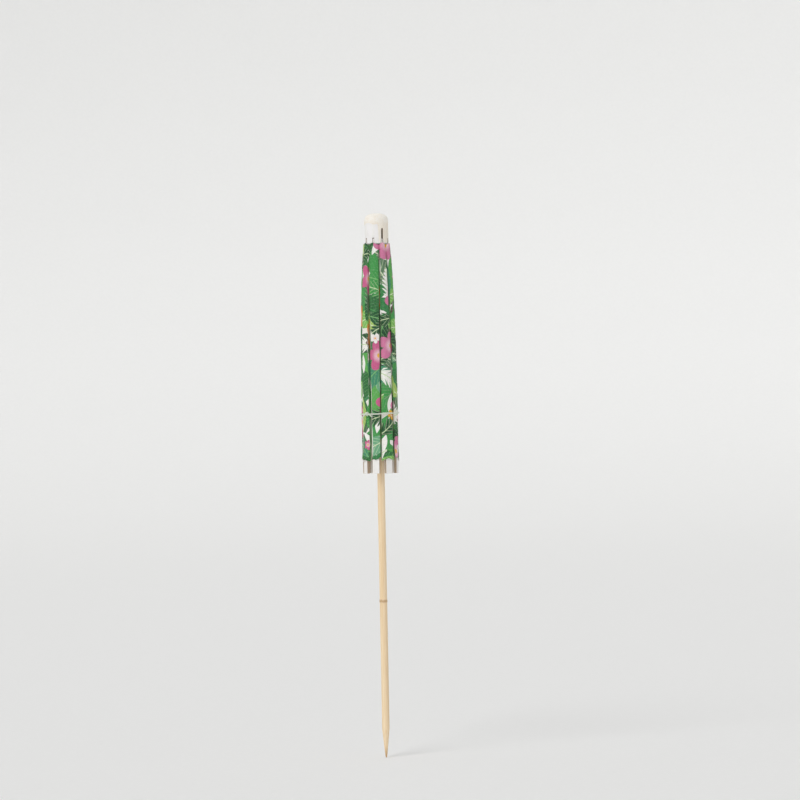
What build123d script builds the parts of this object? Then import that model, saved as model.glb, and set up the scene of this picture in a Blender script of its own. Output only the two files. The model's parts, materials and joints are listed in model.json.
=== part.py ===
"""A cocktail umbrella pick, furled: a bamboo pick, a board frame of ribs and struts, a folded paper canopy.

Millimetres. The pick stands on +Z, and the origin is where its straight shank begins, just above the point.
The frame opens as the runner slides up the pick. Each rib and strut is drawn at azimuth 0, then turned.
"""

import os
from math import asin, atan2, cos, degrees, hypot, radians, sin, sqrt

from build123d import *

# Pick
overall_length = 200.0
pick_diameter = 2.8
tip_length = 10.5
tip_flat_diameter = 0.5
node_from_tip = 57.5
node_ridge = 0.12
node_width = 0.9

# Crown: the ring of board segments that holds the ribs, and the chalk cap that is dipped over it
rib_count = 8
crown_exposed = 11.2
crown_height = 8.4
crown_diameter = 8.6
core_wall = 0.65
slot_width = 0.7
cap_diameter = 8.9
cap_skirt = 1.3
cap_shoulder = 2.4
pick_into_cap = 1.2
glue_gap = 0.02

# Thread that ties ribs to the crown, struts to the runner and struts to ribs
thread_diameter = 0.4
thread_clearance = 0.05
channel_clearance = 0.03
eyelet_wall = 0.3

# Ribs
crown_hinge_radius = 3.6
crown_hinge_height = 1.3
rib_overhang = 5.2
rib_thickness = 0.9
rib_width = 2.6
rib_shoulder_width = 2.1
rib_shoulder = 2.2
rib_full_width_at = 14.0
rib_mid_radius = 5.6
rib_tip_radius = 5.9
tongue_clearance = 0.1

# Struts
strut_share = 0.35
strut_thickness = 0.8
strut_width = 2.0
strut_tongue_length = 1.4
strut_foot_length = 9.5
strut_crank_end = 3.5
toe_depth = 0.65
toe_reach = 0.3
ear_thickness = 0.5
hinge_gap = 0.1

# Runner, the spacer that stops it and the retainer under it
runner_diameter = 8.2
runner_wall = 0.6
runner_above_hinge = 2.0
runner_below_hinge = 12.0
runner_clearance = 0.07
spacer_wall = 0.65
spacer_gap = 0.25
opening_angle = 66.0
retainer_length = 4.0
retainer_wall = 0.6
retainer_gap = 0.15

# Canopy: outer radius of the furled paper and depth of its tucks, from the crown down to the hem
canopy_below_crown = 0.7
canopy_length = 78.4
paper_thickness = 0.12
furl_stations = [0.0, 0.22, 0.54, 0.78, 1.0]
furl_radii = [4.9, 6.0, 6.6, 6.75, 6.75]
tuck_radii = [4.4, 4.5, 4.6, 4.7, 4.75]
tuck_mouth = 0.3
tuck_bottom = 0.1
gore_gap = 0.06

# Tie that keeps the canopy furled
tie_diameter = 0.44
tie_share = 0.786
tie_clearance = 0.05
knot_diameter = 1.1
knot_azimuth = 246.0
tail_length = 3.0
tail_slope = 35.0

# Levels and radii that follow from the sizes above
pitch = 360.0 / rib_count
pick_radius = pick_diameter / 2
thread_radius = thread_diameter / 2
hole_radius = thread_radius + thread_clearance
eyelet_radius = hole_radius + eyelet_wall
crown_radius = crown_diameter / 2
core_radius = pick_radius + core_wall
cap_radius = cap_diameter / 2
cap_top = overall_length - tip_length
crown_bottom = cap_top - crown_exposed
crown_top = crown_bottom + crown_height
pick_top = crown_top + pick_into_cap
crown_hinge_z = crown_bottom + crown_hinge_height
tongue_width = slot_width - 2 * tongue_clearance
canopy_top = crown_bottom - canopy_below_crown
rib_length = crown_hinge_height + canopy_below_crown + canopy_length + rib_overhang
strut_length = strut_share * rib_length
strut_pivot = strut_length
tie_z = canopy_top - tie_share * canopy_length


def rib_radius(drop):
    """Radius of a rib's middle plane at a depth below its hinge: a shallow arch from hinge to tip."""
    half = rib_length / 2
    rise_mid = rib_mid_radius - crown_hinge_radius
    rise_tip = rib_tip_radius - crown_hinge_radius
    bow = (rise_tip - 2 * rise_mid) / (2 * half**2)
    slope = rise_mid / half - bow * half
    return crown_hinge_radius + slope * drop + bow * drop**2


# Where a strut hangs from its rib, under the rib's inner face, and where its foot hooks the runner's thread
pivot_offset = rib_thickness / 2 + eyelet_radius + hinge_gap
pivot_radius = rib_radius(strut_pivot) - pivot_offset
pivot_z = crown_hinge_z - strut_pivot
runner_hinge_radius = crown_hinge_radius
strut_lean = asin((pivot_radius - runner_hinge_radius) / strut_length)
runner_hinge_z = pivot_z - strut_length * cos(strut_lean)
runner_radius = runner_diameter / 2
runner_bore = pick_radius + runner_clearance
runner_tube_radius = runner_bore + runner_wall
runner_top = runner_hinge_z + runner_above_hinge
runner_bottom = runner_hinge_z - runner_below_hinge

# Runner height with the frame open, which sets the length of the spacer
pivot_reach = hypot(pivot_radius - crown_hinge_radius, strut_pivot)
pivot_angle = atan2(pivot_radius - crown_hinge_radius, strut_pivot) + radians(opening_angle)
open_pivot_radius = crown_hinge_radius + pivot_reach * sin(pivot_angle)
open_pivot_z = crown_hinge_z - pivot_reach * cos(pivot_angle)
open_runner_z = open_pivot_z - sqrt(strut_length**2 - (open_pivot_radius - runner_hinge_radius) ** 2)
spacer_bottom = open_runner_z + runner_above_hinge + spacer_gap

os.makedirs("parts", exist_ok=True)


def save(piece, name):
    """Labels a finished piece and writes it under its node's name."""
    piece.label = name
    export_step(piece, f"parts/{name}.step")


def save_around(piece, name, first_azimuth=0.0):
    """Writes a piece drawn at azimuth 0 once for each rib, numbered from 1."""
    for index in range(rib_count):
        save(piece.rotate(Axis.Z, first_azimuth + index * pitch), f"{name}_{index + 1}")


# Bamboo pick with its point, the ridge of a node and a plain top inside the cap
with BuildPart() as pick:
    with BuildSketch(Plane.XZ):
        with BuildLine():
            Polyline(
                (0, -tip_length),
                (tip_flat_diameter / 2, -tip_length),
                (pick_radius, 0),
                (pick_radius, pick_top),
                (0, pick_top),
                close=True,
            )
        make_face()
    revolve(axis=Axis.Z)
    with BuildSketch(Plane.XZ):
        node_z = node_from_tip - tip_length
        with BuildLine():
            ridge = ThreePointArc(
                (pick_radius, node_z - node_width / 2),
                (pick_radius + node_ridge, node_z),
                (pick_radius, node_z + node_width / 2),
            )
            Polyline(ridge @ 1, (0, node_z + node_width / 2), (0, node_z - node_width / 2), ridge @ 0)
        make_face()
    revolve(axis=Axis.Z)
save(pick.part, "pick")

# Rolled paper tube, glued to the pick, that the crown is built on
with BuildPart() as crown_core:
    with BuildSketch(Plane.XY.offset(crown_bottom)):
        Circle(core_radius - glue_gap)
        Circle(pick_radius + glue_gap, mode=Mode.SUBTRACT)
    extrude(amount=crown_height)
save(crown_core.part, "crown_core")

# Eight board segments with a slot for a rib between each two, and the channel of the thread through them
with BuildPart() as crown_segments:
    with BuildSketch(Plane.XY.offset(crown_bottom)):
        Circle(crown_radius)
        Circle(core_radius, mode=Mode.SUBTRACT)
        with PolarLocations(crown_radius, rib_count):
            Rectangle(2 * crown_radius, slot_width, mode=Mode.SUBTRACT)
    extrude(amount=crown_height)
    with Locations((0, 0, crown_hinge_z)):
        Torus(crown_hinge_radius, thread_radius + channel_clearance, mode=Mode.SUBTRACT)
save(crown_segments.part, "crown_segments")

with BuildPart() as crown_thread:
    with Locations((0, 0, crown_hinge_z)):
        Torus(crown_hinge_radius, thread_radius)
save(crown_thread.part, "crown_thread")

# Chalk cap over the top of the crown, with room for the pick's end
with BuildPart() as crown_cap:
    with BuildSketch(Plane.XZ):
        cap_bottom = crown_top - cap_skirt
        shoulder_z = cap_top - cap_shoulder
        with BuildLine():
            dome = Spline((cap_radius, shoulder_z), (0, cap_top), tangents=((0, 1), (-1, 0)))
            Polyline(
                dome @ 0,
                ((cap_radius + crown_radius) / 2, cap_bottom),
                (crown_radius + glue_gap, cap_bottom),
                (crown_radius + glue_gap, crown_top),
                (pick_radius + glue_gap, crown_top),
                (pick_radius + glue_gap, pick_top + glue_gap),
                (0, pick_top + glue_gap),
                dome @ 1,
            )
        make_face()
    revolve(axis=Axis.Z)
save(crown_cap.part, "crown_cap")

# Roll of waste paper on the pick that stops the runner when the frame is open
with BuildPart() as spacer_sleeve:
    with BuildSketch(Plane.XY.offset(spacer_bottom)):
        Circle(pick_radius + spacer_wall)
        Circle(pick_radius + glue_gap, mode=Mode.SUBTRACT)
    extrude(amount=crown_bottom - spacer_bottom)
save(spacer_sleeve.part, "spacer_sleeve")

# Rib: an arched board strip with a tongue and eyelet at the crown, and two ears inside that carry its strut
with BuildPart() as rib:
    with BuildSketch(Plane.XZ):
        with BuildLine():
            half_board = rib_thickness / 2
            rib_drops = [0.0, rib_length / 2, rib_length]
            outer = ThreePointArc(*[(rib_radius(d) + half_board, crown_hinge_z - d) for d in rib_drops])
            inner = ThreePointArc(*[(rib_radius(d) - half_board, crown_hinge_z - d) for d in rib_drops])
            Line(outer @ 0, inner @ 0)
            Line(outer @ 1, inner @ 1)
        make_face()
        with Locations((crown_hinge_radius, crown_hinge_z)):
            Circle(eyelet_radius)
    extrude(amount=rib_width / 2, both=True)
    with BuildSketch(Plane.XZ):
        with Locations((pivot_radius, pivot_z)):
            Circle(eyelet_radius)
        with Locations((pivot_radius + pivot_offset / 2, pivot_z)):
            Rectangle(pivot_offset, 2 * eyelet_radius)
    extrude(amount=rib_width / 2, both=True)
    with BuildSketch(Plane.XZ):
        with Locations((pivot_radius - eyelet_radius, pivot_z)):
            Rectangle(2 * (2 * eyelet_radius + hinge_gap), 4 * eyelet_radius)
    extrude(amount=rib_width / 2 - ear_thickness, both=True, mode=Mode.SUBTRACT)
    with BuildSketch(Plane.YZ) as rib_plan:
        with BuildLine():
            shoulder_z = crown_hinge_z - rib_shoulder
            half_outline = [
                (tongue_width / 2, crown_hinge_z + eyelet_radius),
                (tongue_width / 2, shoulder_z),
                (rib_shoulder_width / 2, shoulder_z),
                (rib_width / 2, crown_hinge_z - rib_full_width_at),
                (rib_width / 2, crown_hinge_z - rib_length),
            ]
            Polyline(*half_outline, *[(-y, z) for y, z in reversed(half_outline)], close=True)
        make_face()
    extrude(amount=2 * rib_tip_radius, both=True, mode=Mode.INTERSECT)
    with BuildSketch(Plane.XZ):
        with Locations((crown_hinge_radius, crown_hinge_z), (pivot_radius, pivot_z)):
            Circle(hole_radius)
    extrude(amount=rib_width, both=True, mode=Mode.SUBTRACT)
save_around(rib.part, "rib")

# Thread stitch that pins a strut between its rib's ears
with BuildPart() as rib_pin:
    with BuildSketch(Plane.XZ):
        with Locations((pivot_radius, pivot_z)):
            Circle(thread_radius)
    extrude(amount=rib_width / 2, both=True)
save_around(rib_pin.part, "rib_pin")

# Strut, drawn from its foot up to its eyelet: the foot is a hook, open inwards, over the runner's thread
with BuildPart() as strut:
    strut_plane = Plane(
        origin=(runner_hinge_radius, 0, runner_hinge_z),
        x_dir=(sin(strut_lean), 0, cos(strut_lean)),
        z_dir=(0, -1, 0),
    )
    toe_top = -(hole_radius + channel_clearance)
    foot_face = -hole_radius
    half_board = strut_thickness / 2
    crank_end = strut_length - strut_crank_end
    strut_ear_half = rib_width / 2 - ear_thickness - tongue_clearance
    with BuildSketch(strut_plane):
        with BuildLine():
            Polyline(
                (toe_top - toe_depth, foot_face - strut_thickness),
                (toe_top - toe_depth, toe_reach),
                (toe_top, toe_reach),
                (toe_top, foot_face),
                (strut_foot_length, foot_face),
                (crank_end, half_board),
                (strut_length, half_board),
                (strut_length, -half_board),
                (crank_end, -half_board),
                (strut_foot_length, foot_face - strut_thickness),
                close=True,
            )
        make_face()
        with Locations((strut_length, 0)):
            Circle(eyelet_radius)
    extrude(amount=strut_width / 2, both=True)
    strut_plan = Plane(origin=strut_plane.origin, x_dir=strut_plane.x_dir, z_dir=strut_plane.y_dir)
    with BuildSketch(strut_plan):
        with BuildLine():
            half_outline = [
                (toe_top - toe_depth, tongue_width / 2),
                (strut_foot_length, tongue_width / 2),
                (strut_foot_length + strut_width / 2, strut_width / 2),
                (strut_length - strut_tongue_length, strut_width / 2),
                (strut_length - strut_tongue_length, strut_ear_half),
                (strut_length + eyelet_radius, strut_ear_half),
            ]
            Polyline(*half_outline, *[(u, -w) for u, w in reversed(half_outline)], close=True)
        make_face()
    extrude(amount=strut_length, both=True, mode=Mode.INTERSECT)
    with BuildSketch(strut_plane):
        with Locations((strut_length, 0)):
            Circle(hole_radius)
    extrude(amount=strut_width, both=True, mode=Mode.SUBTRACT)
save_around(strut.part, "strut")

# Runner: a rolled paper tube with board segments round it, slotted for the struts' feet, and its thread
with BuildPart() as runner_tube:
    with BuildSketch(Plane.XY.offset(runner_bottom)):
        Circle(runner_tube_radius - glue_gap)
        Circle(runner_bore, mode=Mode.SUBTRACT)
    extrude(amount=runner_top - runner_bottom)
save(runner_tube.part, "runner_tube")

with BuildPart() as runner_segments:
    with BuildSketch(Plane.XY.offset(runner_bottom)):
        Circle(runner_radius)
        Circle(runner_tube_radius, mode=Mode.SUBTRACT)
        with PolarLocations(runner_radius, rib_count):
            Rectangle(2 * runner_radius, slot_width, mode=Mode.SUBTRACT)
    extrude(amount=runner_top - runner_bottom)
    with Locations((0, 0, runner_hinge_z)):
        Torus(runner_hinge_radius, thread_radius + channel_clearance, mode=Mode.SUBTRACT)
save(runner_segments.part, "runner_segments")

with BuildPart() as runner_thread:
    with Locations((0, 0, runner_hinge_z)):
        Torus(runner_hinge_radius, thread_radius)
save(runner_thread.part, "runner_thread")

# Slip of clear tubing under the runner that grips the pick and keeps the frame open
with BuildPart() as retainer_ring:
    with BuildSketch(Plane.XY.offset(runner_bottom - retainer_gap - retainer_length)):
        Circle(runner_bore + retainer_wall)
        Circle(runner_bore, mode=Mode.SUBTRACT)
    extrude(amount=retainer_length)
save(retainer_ring.part, "retainer_ring")


def gore_outline(outer_radius, tuck_radius):
    """Outline of one folded gore across the pick: half a panel, the tuck between two ribs, half a panel."""
    seam = radians(pitch / 2) - gore_gap / 2 / outer_radius
    mid_panel = radians(pitch / 4)
    mouth = tuck_mouth / 2
    bottom = tuck_bottom / 2

    def on_circle(radius, angle):
        return (radius * cos(angle), radius * sin(angle))

    def at_side(radius, side):
        return (sqrt(radius**2 - side**2), side)

    skin = outer_radius - paper_thickness
    wall = mouth + paper_thickness
    floor_wall = bottom + paper_thickness
    tuck_floor = tuck_radius - paper_thickness
    near = ThreePointArc(
        on_circle(outer_radius, -seam),
        on_circle(outer_radius, -mid_panel),
        at_side(outer_radius, -mouth),
    )
    tuck = Polyline(near @ 1, (tuck_radius, -bottom), (tuck_radius, bottom), at_side(outer_radius, mouth))
    far = ThreePointArc(tuck @ 1, on_circle(outer_radius, mid_panel), on_circle(outer_radius, seam))
    far_back = ThreePointArc(on_circle(skin, seam), on_circle(skin, mid_panel), at_side(skin, wall))
    tuck_corners = [(tuck_floor, floor_wall), (tuck_floor, -floor_wall)]
    tuck_back = Polyline(far_back @ 1, *tuck_corners, at_side(skin, -wall))
    near_back = ThreePointArc(tuck_back @ 1, on_circle(skin, -mid_panel), on_circle(skin, -seam))
    Line(far @ 1, far_back @ 0)
    Line(near_back @ 1, near @ 0)


# Canopy gore: the paper between two ribs, glued along both and tucked in between them
with BuildPart() as gore:
    for share, outer_radius, tuck_radius in zip(furl_stations, furl_radii, tuck_radii):
        with BuildSketch(Plane.XY.offset(canopy_top - share * canopy_length)):
            with BuildLine():
                gore_outline(outer_radius, tuck_radius)
            make_face()
    loft(ruled=True)
save_around(gore.part, "gore", first_azimuth=pitch / 2)

# Tie: a loop of thread round the furled canopy, with a knot and two short tails
with BuildPart() as tie_thread:
    tie_radius = tie_diameter / 2
    loop_inside = max(furl_radii) + tie_clearance
    loop_radius = loop_inside + tie_radius
    knot_gap = tie_diameter / loop_radius
    loop_start = radians(knot_azimuth) + knot_gap / 2
    loop_plane = Plane((0, 0, 0), (cos(loop_start), sin(loop_start), 0), (sin(loop_start), -cos(loop_start), 0))
    with BuildSketch(loop_plane):
        with Locations((loop_radius, tie_z)):
            Circle(tie_radius)
    revolve(axis=Axis.Z, revolution_arc=360 - degrees(knot_gap))
    knot = Location((0, 0, tie_z), (0, 0, knot_azimuth)) * Location((loop_inside + knot_diameter / 2, 0, 0))
    with Locations(knot * Location((0, 0, 0), (90, 0, 0))):
        Sphere(knot_diameter / 2)
    for side in (-1, 1):
        tail = knot * Location((0, 0, 0), (side * tail_slope, 90 + tail_slope, 0))
        with Locations(tail * Location((0, 0, knot_diameter / 4))):
            Cylinder(tie_radius, tail_length, align=(Align.CENTER, Align.CENTER, Align.MIN))
save(tie_thread.part, "tie_thread")
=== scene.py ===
"""Dresses a furled cocktail umbrella pick: paper canopy, board frame, chalk cap, bamboo pick and thread tie."""

import json
import math

import bmesh
import bpy
from mathutils import Matrix, Vector, noise


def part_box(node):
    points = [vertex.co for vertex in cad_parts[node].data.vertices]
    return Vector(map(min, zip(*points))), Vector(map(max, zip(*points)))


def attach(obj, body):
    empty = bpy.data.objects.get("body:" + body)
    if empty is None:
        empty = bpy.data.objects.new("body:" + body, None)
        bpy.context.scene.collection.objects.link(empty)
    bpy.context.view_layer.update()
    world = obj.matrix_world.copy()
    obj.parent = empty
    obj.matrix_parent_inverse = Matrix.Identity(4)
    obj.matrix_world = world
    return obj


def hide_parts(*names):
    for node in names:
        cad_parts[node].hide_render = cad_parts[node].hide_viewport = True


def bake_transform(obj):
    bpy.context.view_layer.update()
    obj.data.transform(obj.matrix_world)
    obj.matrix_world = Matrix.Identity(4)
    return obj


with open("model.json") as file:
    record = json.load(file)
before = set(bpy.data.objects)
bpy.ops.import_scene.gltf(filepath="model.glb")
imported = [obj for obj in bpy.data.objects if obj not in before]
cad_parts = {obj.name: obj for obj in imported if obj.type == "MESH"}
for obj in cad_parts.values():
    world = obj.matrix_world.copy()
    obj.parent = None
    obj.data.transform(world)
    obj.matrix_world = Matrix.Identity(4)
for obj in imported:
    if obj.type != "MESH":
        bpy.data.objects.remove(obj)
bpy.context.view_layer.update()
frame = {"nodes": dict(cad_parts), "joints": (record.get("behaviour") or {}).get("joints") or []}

bl_info = {
    "name": "Cocktail Umbrella Pick",
    "version": (1, 0, 0),
    "blender": (4, 5, 0),
    "location": "View3D > Sidebar > Umbrella",
    "description": "Builds the visible pieces of a furled cocktail umbrella pick on its CAD frame",
    "category": "Object",
}

MM = 0.001
RIBS = 8
PITCH = math.tau / RIBS
JOINTS = {joint["name"]: joint for joint in frame["joints"]}
HINGE = JOINTS["rib_1_hinge"]["pos_m"]
OPENING = math.radians(JOINTS["rib_1_hinge"]["range_deg"][1])
PICK_LOW, PICK_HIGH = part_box("pick")
CROWN_LOW, CROWN_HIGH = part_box("crown_segments")
CAP_LOW, CAP_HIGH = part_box("crown_cap")
GORE_LOW, GORE_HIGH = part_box("gore_1")
RIB_LOW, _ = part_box("rib_1")
TIE_LOW, TIE_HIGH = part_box("tie_thread")

# Half the width of a board piece, from its middle plane to the cut side, and of a slit of the crown
RIB_HALF, STRUT_HALF, SLIT_HALF = 1.3 * MM, 1.0 * MM, 0.35 * MM
CROWN_RADIUS = 4.3 * MM


def linear(hex_colour):
    """A linear colour from an sRGB hex value."""
    parts = [int(hex_colour[i : i + 2], 16) / 255 for i in (1, 3, 5)]
    return (*[p / 12.92 if p <= 0.04045 else ((p + 0.055) / 1.055) ** 2.4 for p in parts], 1.0)


# Settings


class PickSettings(bpy.types.PropertyGroup):
    """Sizes of the bamboo pick"""

    radius: bpy.props.FloatProperty(
        name="Shank radius",
        description="Half the pick's thickness",
        default=PICK_HIGH[0] - 0.12 * MM,
        unit="LENGTH",
    )
    point: bpy.props.FloatProperty(
        name="Point length", description="Length of the sharpened end", default=10.5 * MM, unit="LENGTH"
    )
    node: bpy.props.FloatProperty(
        name="Node height", description="Height of the bamboo node on the shank", default=47.0 * MM, unit="LENGTH"
    )
    straw: bpy.props.FloatVectorProperty(
        name="Straw", description="Colour of the bamboo's skin", default=linear("#fae6c6"), size=4, subtype="COLOR"
    )


class CapSettings(bpy.types.PropertyGroup):
    """The chalk dip on the crown"""

    drip: bpy.props.FloatProperty(
        name="Drip", description="How unevenly the dip's edge hangs", default=1.0 * MM, unit="LENGTH"
    )
    bridge: bpy.props.FloatProperty(
        name="Bridge", description="How far it closes the open slit", default=1.7 * MM, unit="LENGTH"
    )
    chalk: bpy.props.FloatVectorProperty(
        name="Chalk", description="Colour of the dried chalk", default=linear("#fcf8f0"), size=4, subtype="COLOR"
    )


class FrameSettings(bpy.types.PropertyGroup):
    """The board of the ribs and struts"""

    liner: bpy.props.FloatVectorProperty(
        name="Liner", description="Colour of its white faces", default=linear("#f3f1ee"), size=4, subtype="COLOR"
    )
    pulp: bpy.props.FloatVectorProperty(
        name="Pulp", description="Colour of the cut board", default=linear("#9a8069"), size=4, subtype="COLOR"
    )


class CanopySettings(bpy.types.PropertyGroup):
    """Sizes of the furled paper"""

    thickness: bpy.props.FloatProperty(
        name="Paper", description="Thickness of the paper", default=0.1 * MM, unit="LENGTH"
    )
    mouth: bpy.props.FloatProperty(
        name="Tuck mouth", description="Half the width of a tuck where it opens", default=0.3 * MM, unit="LENGTH"
    )
    hem_wave: bpy.props.FloatProperty(
        name="Hem wave", description="How unevenly the hem hangs", default=1.0 * MM, unit="LENGTH"
    )
    lap: bpy.props.FloatProperty(
        name="Lap", description="How far the top edge stands up", default=1.0 * MM, unit="LENGTH"
    )
    gape: bpy.props.FloatProperty(
        name="Gape", description="How far a tuck's sides stand open in places", default=0.75 * MM, unit="LENGTH"
    )
    scallop: bpy.props.FloatProperty(
        name="Scallop", description="Dip of the top edge at a tuck", default=0.7 * MM, unit="LENGTH"
    )
    crease: bpy.props.FloatProperty(
        name="Crease", description="Height of the small creases in the paper", default=0.17 * MM, unit="LENGTH"
    )
    ground: bpy.props.FloatVectorProperty(
        name="Ground", description="Colour of the bare paper", default=linear("#f3f0e8"), size=4, subtype="COLOR"
    )
    leaf: bpy.props.FloatVectorProperty(
        name="Leaf", description="Main green of the leaves", default=linear("#3f9a4a"), size=4, subtype="COLOR"
    )
    blossom: bpy.props.FloatVectorProperty(
        name="Blossom", description="Main pink of the blossoms", default=linear("#cf5f8e"), size=4, subtype="COLOR"
    )


class TieSettings(bpy.types.PropertyGroup):
    """Sizes of the thread tie"""

    ply: bpy.props.FloatProperty(
        name="Ply radius", description="Radius of one of the two plies", default=0.15 * MM, unit="LENGTH"
    )
    lay: bpy.props.FloatProperty(
        name="Lay", description="Length of one full twist of the plies", default=1.4 * MM, unit="LENGTH"
    )
    tail: bpy.props.FloatProperty(
        name="Tail", description="Length of a loose end", default=3.0 * MM, unit="LENGTH"
    )
    thread: bpy.props.FloatVectorProperty(
        name="Thread", description="Colour of the thread", default=linear("#f2f6ec"), size=4, subtype="COLOR"
    )


class StageSettings(bpy.types.PropertyGroup):
    """Camera and light"""

    lens: bpy.props.FloatProperty(
        name="Lens", description="Focal length in millimetres", default=150.0, unit="CAMERA"
    )
    view_width: bpy.props.FloatProperty(
        name="View width", description="Width that the camera sees at the pick", default=294.1 * MM, unit="LENGTH"
    )
    turn: bpy.props.FloatProperty(
        name="Turn", description="How far round the camera stands", default=math.radians(15.7), subtype="ANGLE"
    )
    roll: bpy.props.FloatProperty(
        name="Roll", description="Turn of the picture about its middle", default=math.radians(1.1), subtype="ANGLE"
    )
    light: bpy.props.FloatProperty(name="Key light", description="Strength of the key light", default=1.5)


# Helpers


def add(tree, kind, *inputs, named=None, out=0, **settings):
    """Adds a node with its settings. Inputs are in socket order or named: an output is linked, a value is set."""
    node = tree.nodes.new("ShaderNode" + kind)
    for key, value in settings.items():
        setattr(node, key, value)
    for key, value in [*enumerate(inputs), *(named or {}).items()]:
        if isinstance(value, bpy.types.NodeSocket):
            tree.links.new(value, node.inputs[key])
        elif value is not None:
            node.inputs[key].default_value = value
    return node.outputs[out] if node.outputs else node


# The settings of a mix of two colours, and of a step with soft ends
RGBA = {"out": 2, "data_type": "RGBA"}
SOFT = {"interpolation_type": "SMOOTHSTEP"}


def new_material(name):
    """An empty material, its node tree and its shader."""
    material = bpy.data.materials.new(name)
    material.use_nodes = True
    tree = material.node_tree
    tree.nodes.clear()
    shader = add(tree, "BsdfPrincipled")
    add(tree, "OutputMaterial", shader)
    return material, tree, shader.node


def surface(shader, tone, roughness, relief=None, depth=0.0, strength=1.0):
    """Gives a shader its colour, its roughness, as a number or a pattern, and a relief that deep, in metres."""
    tree = shader.id_data
    tree.links.new(tone, shader.inputs["Base Color"])
    if isinstance(roughness, float):
        shader.inputs["Roughness"].default_value = roughness
    else:
        tree.links.new(roughness, shader.inputs["Roughness"])
    if relief is not None:
        bump = add(tree, "Bump", named={"Strength": strength, "Distance": depth, "Height": relief})
        tree.links.new(bump, shader.inputs["Normal"])


def deselect():
    """Leaves edit mode and nothing selected, as each piece is begun."""
    if bpy.context.object and bpy.context.object.mode != "OBJECT":
        bpy.ops.object.mode_set(mode="OBJECT")
    bpy.ops.object.select_all(action="DESELECT")


def lathe(name, rings, segments=64):
    """A closed round piece from (radius, height) rings: a circle is extruded ring by ring, both ends filled."""
    deselect()
    radius, height = rings[0]
    bpy.ops.mesh.primitive_circle_add(vertices=segments, radius=radius, fill_type="NGON", location=(0, 0, height))
    piece = bpy.context.object
    piece.name = name
    bpy.ops.object.transform_apply(location=True)
    bpy.ops.object.mode_set(mode="EDIT")
    bpy.ops.mesh.select_all(action="SELECT")
    for next_radius, next_height in rings[1:]:
        bpy.ops.mesh.extrude_region_move(TRANSFORM_OT_translate={"value": (0, 0, next_height - height)})
        scale = next_radius / radius
        bpy.ops.transform.resize(value=(scale, scale, 1), center_override=(0, 0, next_height))
        radius, height = next_radius, next_height
    bpy.ops.mesh.select_all(action="SELECT")
    bpy.ops.mesh.remove_doubles(threshold=1e-7)
    bpy.ops.mesh.normals_make_consistent(inside=False)
    bpy.ops.object.mode_set(mode="OBJECT")
    return piece


def apply_modifier(piece, kind, **settings):
    """Adds a modifier with its settings and applies it."""
    bpy.context.view_layer.objects.active = piece
    modifier = piece.modifiers.new(kind.title(), kind)
    for key, value in settings.items():
        setattr(modifier, key, value)
    bpy.ops.object.modifier_apply(modifier=modifier.name)


def select_only(piece):
    """Leaves one piece selected and active."""
    deselect()
    piece.select_set(True)
    bpy.context.view_layer.objects.active = piece


def smooth(piece, angle=40):
    """Shades a piece smooth, but not over edges sharper than the angle."""
    select_only(piece)
    bpy.ops.object.shade_smooth_by_angle(angle=math.radians(angle))


def paint(name, material):
    """Gives a CAD node's object one material."""
    node = frame["nodes"][name]
    node.data.materials.clear()
    node.data.materials.append(material)


def polar(radius, angle, height):
    """A point from its radius and azimuth."""
    return Vector((radius * math.cos(angle), radius * math.sin(angle), height))


def along(stations, values, at):
    """A value between stations, on a smooth line through all of them."""
    last = len(stations) - 1
    k = max(i for i in range(last) if stations[i] <= max(at, stations[0]))
    before, after = max(k - 1, 0), min(k + 2, last)
    span = stations[k + 1] - stations[k]
    share = min(1.0, (at - stations[k]) / span)
    slope_a = (values[k + 1] - values[before]) / (stations[k + 1] - stations[before])
    slope_b = (values[after] - values[k]) / (stations[after] - stations[k])
    a, b = values[k], values[k + 1]
    s2, s3 = share**2, share**3
    ease = 3 * s2 - 2 * s3
    return a + (b - a) * ease + span * (slope_a * (s3 - 2 * s2 + share) + slope_b * (s3 - s2))


# Materials


def scatter(tree, flat, cell, shift, randomness):
    """Places for a motif, one to a cell of that many millimetres: x, y from its middle and two random numbers."""
    cells = add(tree, "VectorMath", flat, (1 / cell,) * 3, (shift, shift * 0.7, 0), operation="MULTIPLY_ADD")
    grid = {"Scale": 1.0, "Randomness": randomness}
    middle = add(tree, "TexVoronoi", cells, named=grid, out="Position", voronoi_dimensions="2D")
    chance = add(tree, "SeparateColor", middle.node.outputs["Color"]).node
    offset = add(tree, "VectorMath", cells, middle, operation="SUBTRACT")
    turn = add(tree, "Math", chance.outputs[0], math.tau, operation="MULTIPLY")
    turned = add(tree, "VectorRotate", offset, named={"Angle": turn}, rotation_type="Z_AXIS")
    local = add(tree, "SeparateXYZ", add(tree, "VectorMath", turned, (cell,) * 3, operation="MULTIPLY")).node
    return local.outputs[0], local.outputs[1], chance.outputs[1], chance.outputs[2]


def ink_by_chance(tree, chance, colours):
    """One of several inks by a random number."""
    inks = add(tree, "ValToRGB", chance)
    ramp = inks.node.color_ramp
    ramp.interpolation = "CONSTANT"
    while len(ramp.elements) < len(colours):
        ramp.elements.new(1.0)
    for k, colour in enumerate(colours):
        ramp.elements[k].position = k / len(colours)
        ramp.elements[k].color = linear(colour) if isinstance(colour, str) else colour
    return inks


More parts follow.
